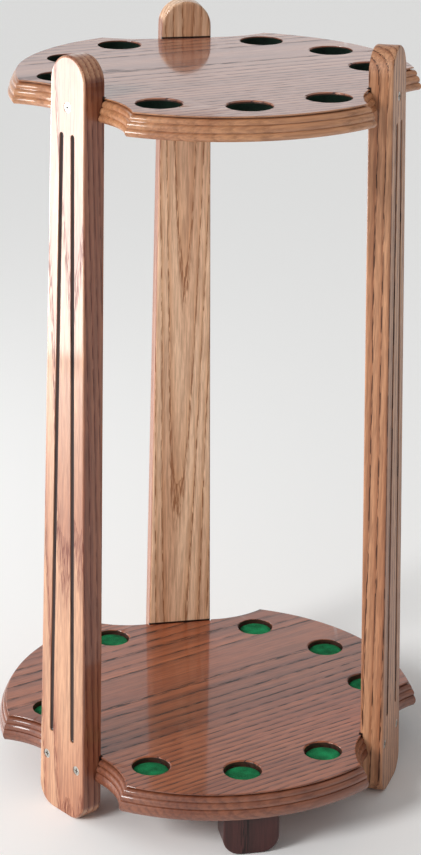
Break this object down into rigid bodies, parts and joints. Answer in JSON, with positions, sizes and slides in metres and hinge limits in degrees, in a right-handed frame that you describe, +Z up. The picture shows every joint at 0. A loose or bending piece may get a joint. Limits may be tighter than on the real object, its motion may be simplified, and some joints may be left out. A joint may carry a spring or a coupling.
{
  "type": "floor cue rack",
  "caption": "Round floor rack: two moulded three-lobed oak plates on three leaning flat posts, with lined holes above felt-bottomed sockets that hold billiard cues upright.",
  "frame": {"origin": "on the rack's centre line at floor level", "axes": "+Z up, +Y towards the back post, -Y towards the front lobe, +X to the right"},
  "size_m": [0.41, 0.3902, 0.7105],
  "materials": {
    "oak": "gloss",
    "felt": "matte",
    "lining": "matte",
    "steel": "satin"
  },
  "bodies": {
    "root": {"base_plate": "oak", "top_plate": "oak", "post_back": "oak", "post_left": "oak", "post_right": "oak", "foot_front": "oak", "foot_right": "oak", "foot_left": "oak", "screws_top": "steel", "screws_base": "steel", "screws_feet": "steel", "felt_pad_1": "felt", "felt_pad_2": "felt", "felt_pad_3": "felt", "felt_pad_4": "felt", "felt_pad_5": "felt", "felt_pad_6": "felt", "felt_pad_7": "felt", "felt_pad_8": "felt", "felt_pad_9": "felt", "hole_lining_1": "lining", "hole_lining_2": "lining", "hole_lining_3": "lining", "hole_lining_4": "lining", "hole_lining_5": "lining", "hole_lining_6": "lining", "hole_lining_7": "lining", "hole_lining_8": "lining", "hole_lining_9": "lining"}
  },
  "joints": []
}
